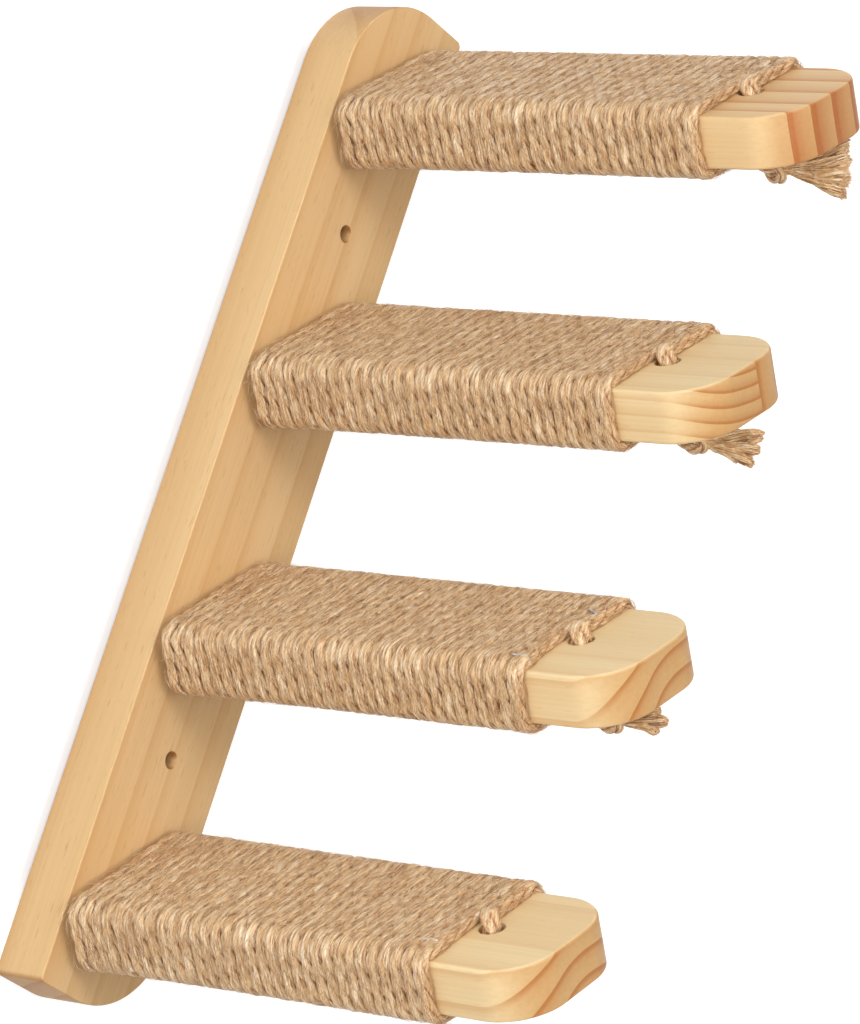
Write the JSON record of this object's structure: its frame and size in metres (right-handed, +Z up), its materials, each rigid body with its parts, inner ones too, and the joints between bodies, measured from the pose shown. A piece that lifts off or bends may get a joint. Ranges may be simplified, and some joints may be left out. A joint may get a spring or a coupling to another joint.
{
  "type": "cat wall steps",
  "caption": "Leaning pine board for a wall with horizontal pine steps in a climbing row, each closely wound with jute rope that is knotted under its bare, rounded tip.",
  "frame": {"origin": "centre of the backboard's back face, which lies on the wall", "axes": "+Y into the wall, +Z up, +X to the right for someone who faces the wall; the steps stand out along -Y"},
  "size_m": [0.4154, 0.2933, 0.3776],
  "materials": {
    "pine": "clear satin lacquer over pale pine",
    "jute": "twisted natural jute, slightly hairy",
    "screw_steel": "zinc plated",
    "staple_steel": "bright wire"
  },
  "bodies": {
    "root": {"backboard": "pine", "step_board_1": "pine", "step_board_2": "pine", "step_board_3": "pine", "step_board_4": "pine", "rope_winding_1": "jute", "rope_winding_2": "jute", "rope_winding_3": "jute", "rope_winding_4": "jute", "rope_knot_1": "jute", "rope_knot_2": "jute", "rope_knot_3": "jute", "rope_knot_4": "jute", "rope_tail_1": "jute", "rope_tail_2": "jute", "rope_tail_3": "jute", "rope_tail_4": "jute", "step_screw_1_a": "screw_steel", "step_screw_1_b": "screw_steel", "step_screw_2_a": "screw_steel", "step_screw_2_b": "screw_steel", "step_screw_3_a": "screw_steel", "step_screw_3_b": "screw_steel", "step_screw_4_a": "screw_steel", "step_screw_4_b": "screw_steel", "staple_step_3_far": "staple_steel", "staple_step_3_near": "staple_steel", "staple_step_4": "staple_steel"}
  },
  "joints": []
}
